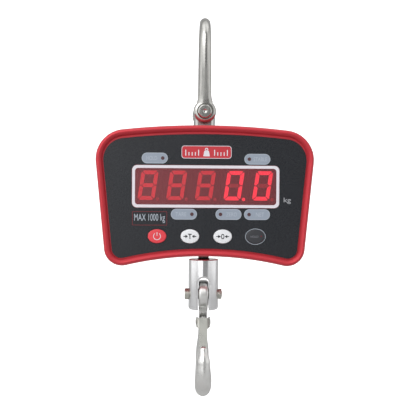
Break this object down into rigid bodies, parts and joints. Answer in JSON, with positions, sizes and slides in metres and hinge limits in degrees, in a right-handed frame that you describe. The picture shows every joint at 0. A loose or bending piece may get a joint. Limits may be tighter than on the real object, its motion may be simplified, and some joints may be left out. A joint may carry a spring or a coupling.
{
  "type": "crane scale",
  "caption": "Hanging digital crane scale: shackle, red cast case with LED display, keys and inner load cell, swivel clevis and latched hook.",
  "frame": {"origin": "the point of the shackle's bow that rests on the crane's hook", "axes": "-Z down the load line to the hook, -Y out of the display's face, +X to the display's right as it is read"},
  "size_m": [0.219, 0.096, 0.3962],
  "materials": {
    "forged_steel": "forged and zinc plated, satin",
    "polished_steel": "turned and polished",
    "plated_steel": "zinc plated",
    "red_enamel": "gloss enamel on cast aluminium",
    "black_label": "printed overlay, fine satin",
    "red_filter": "dark red acrylic",
    "display_red": "LED segments and lamps",
    "circuit_board": "solder mask",
    "black_rubber": "matt",
    "battery_case": "moulded ABS",
    "white_key": "satin",
    "red_key": "satin",
    "dark_key": "satin",
    "switch_black": "moulded",
    "cable_sheath": "flexible PVC"
  },
  "bodies": {
    "shackle": {"shackle_bow": "forged_steel", "shackle_pin": "forged_steel"},
    "scale": {"upper_eye": "polished_steel", "load_cell": "polished_steel", "lower_race": "polished_steel", "swivel_yoke": "plated_steel", "ball_cage": "plated_steel", "battery_strap": "plated_steel", "cell_bracket": "plated_steel", "case_screw_1": "plated_steel", "case_screw_2": "plated_steel", "case_screw_3": "plated_steel", "case_screw_4": "plated_steel", "case_screw_5": "plated_steel", "case_screw_6": "plated_steel", "lower_cover_screw": "plated_steel", "upper_cover_screw": "plated_steel", "left_bracket_screw": "plated_steel", "right_bracket_screw": "plated_steel", "front_case": "red_enamel", "rear_case": "red_enamel", "battery_cover": "red_enamel", "front_label": "black_label", "display_window": "red_filter", "digit_1": "display_red", "digit_2": "display_red", "digit_3": "display_red", "digit_4": "display_red", "digit_5": "display_red", "hold_led": "display_red", "stable_led": "display_red", "tare_led": "display_red", "zero_led": "display_red", "mode_led": "display_red", "display_board": "circuit_board", "main_board": "circuit_board", "top_seal": "black_rubber", "bottom_seal": "black_rubber", "case_gasket": "black_rubber", "battery": "battery_case", "power_switch": "switch_black", "tare_switch": "switch_black", "zero_switch": "switch_black", "hold_switch": "switch_black", "charge_socket": "switch_black", "cell_cable": "cable_sheath", "battery_lead": "cable_sheath"},
    "power_key": {"power_key": "red_key"},
    "tare_key": {"tare_key": "white_key"},
    "zero_key": {"zero_key": "white_key"},
    "hold_key": {"hold_key": "dark_key"},
    "swivel": {"clevis": "polished_steel", "upper_race": "polished_steel", "stem_nut": "plated_steel", "hook_pin": "plated_steel", "hook_pin_nut": "plated_steel"},
    "hook": {"hook": "forged_steel", "latch_rivet": "plated_steel"},
    "latch": {"latch": "plated_steel", "latch_spring": "polished_steel"}
  },
  "joints": [
    {"name": "shackle_hinge", "type": "hinge", "parent": "shackle", "child": "scale", "pos_m": [0, 0, -0.0884], "axis": [0, 1, 0], "range_deg": [-90, 90]},
    {"name": "hook_swivel", "type": "hinge", "parent": "scale", "child": "swivel", "pos_m": [0, 0, -0.2782], "axis": [0, 0, 1], "continuous": true},
    {"name": "hook_hinge", "type": "hinge", "parent": "swivel", "child": "hook", "pos_m": [0, 0, -0.2782], "axis": [1, 0, 0], "range_deg": [-75, 75]},
    {"name": "latch_hinge", "type": "hinge", "parent": "hook", "child": "latch", "pos_m": [0, 0.0045, -0.3082], "axis": [1, 0, 0], "range_deg": [0, 55], "stiffness_Nm_per_rad": 0.02, "springref_deg": -34.38},
    {"name": "power_key_press", "type": "slide", "parent": "scale", "child": "power_key", "axis": [0, 1, 0], "range_m": [0, 0.0008], "stiffness_N_per_m": 1500, "springref_m": -0.0004},
    {"name": "tare_key_press", "type": "slide", "parent": "scale", "child": "tare_key", "axis": [0, 1, 0], "range_m": [0, 0.0008], "stiffness_N_per_m": 1500, "springref_m": -0.0004},
    {"name": "zero_key_press", "type": "slide", "parent": "scale", "child": "zero_key", "axis": [0, 1, 0], "range_m": [0, 0.0008], "stiffness_N_per_m": 1500, "springref_m": -0.0004},
    {"name": "hold_key_press", "type": "slide", "parent": "scale", "child": "hold_key", "axis": [0, 1, 0], "range_m": [0, 0.0008], "stiffness_N_per_m": 1500, "springref_m": -0.0004}
  ]
}
